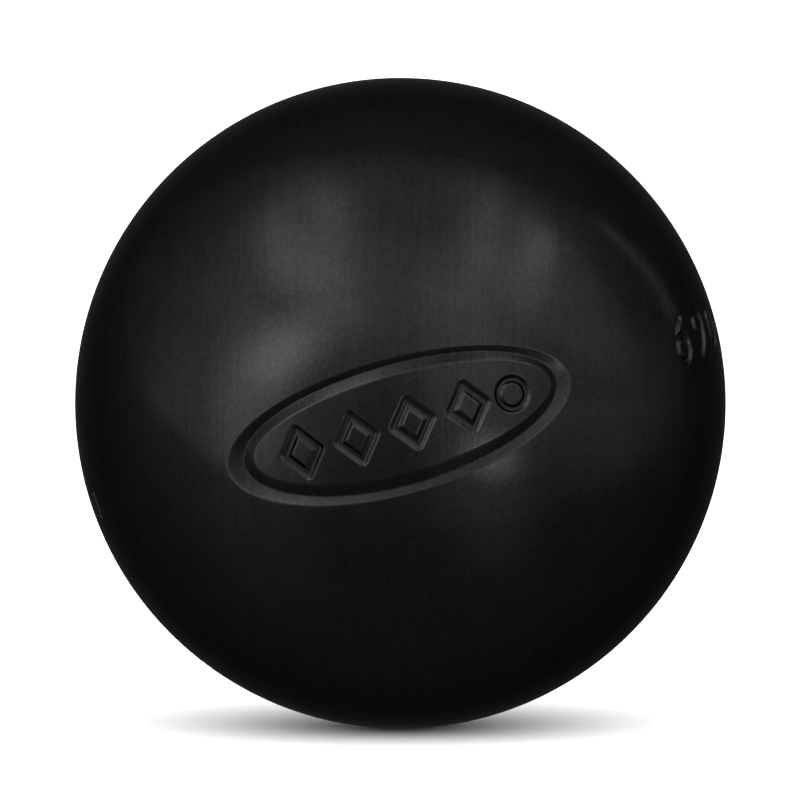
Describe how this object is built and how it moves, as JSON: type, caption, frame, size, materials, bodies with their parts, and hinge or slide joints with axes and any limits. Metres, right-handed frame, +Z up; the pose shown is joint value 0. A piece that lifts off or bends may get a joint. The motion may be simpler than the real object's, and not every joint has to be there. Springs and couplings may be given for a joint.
{
  "type": "petanque boule",
  "caption": "Hollow steel petanque boule in near-black satin lacquer, with a pressed oval frame and stamped size and weight figures.",
  "frame": {"origin": "centre of the ball", "axes": "+Z up as the ball lies, -Y out through the middle of the oval frame, +X to the right seen from the oval side"},
  "size_m": [0.071, 0.071, 0.071],
  "materials": {
    "lacquered_steel": "satin",
    "lacquered_weld_steel": "satin",
    "bare_weld_steel": "matte"
  },
  "bodies": {
    "root": {"front_half_shell": "lacquered_steel", "rear_half_shell": "lacquered_steel", "weld_root_run": "bare_weld_steel", "weld_cap_run": "lacquered_weld_steel"}
  },
  "joints": []
}
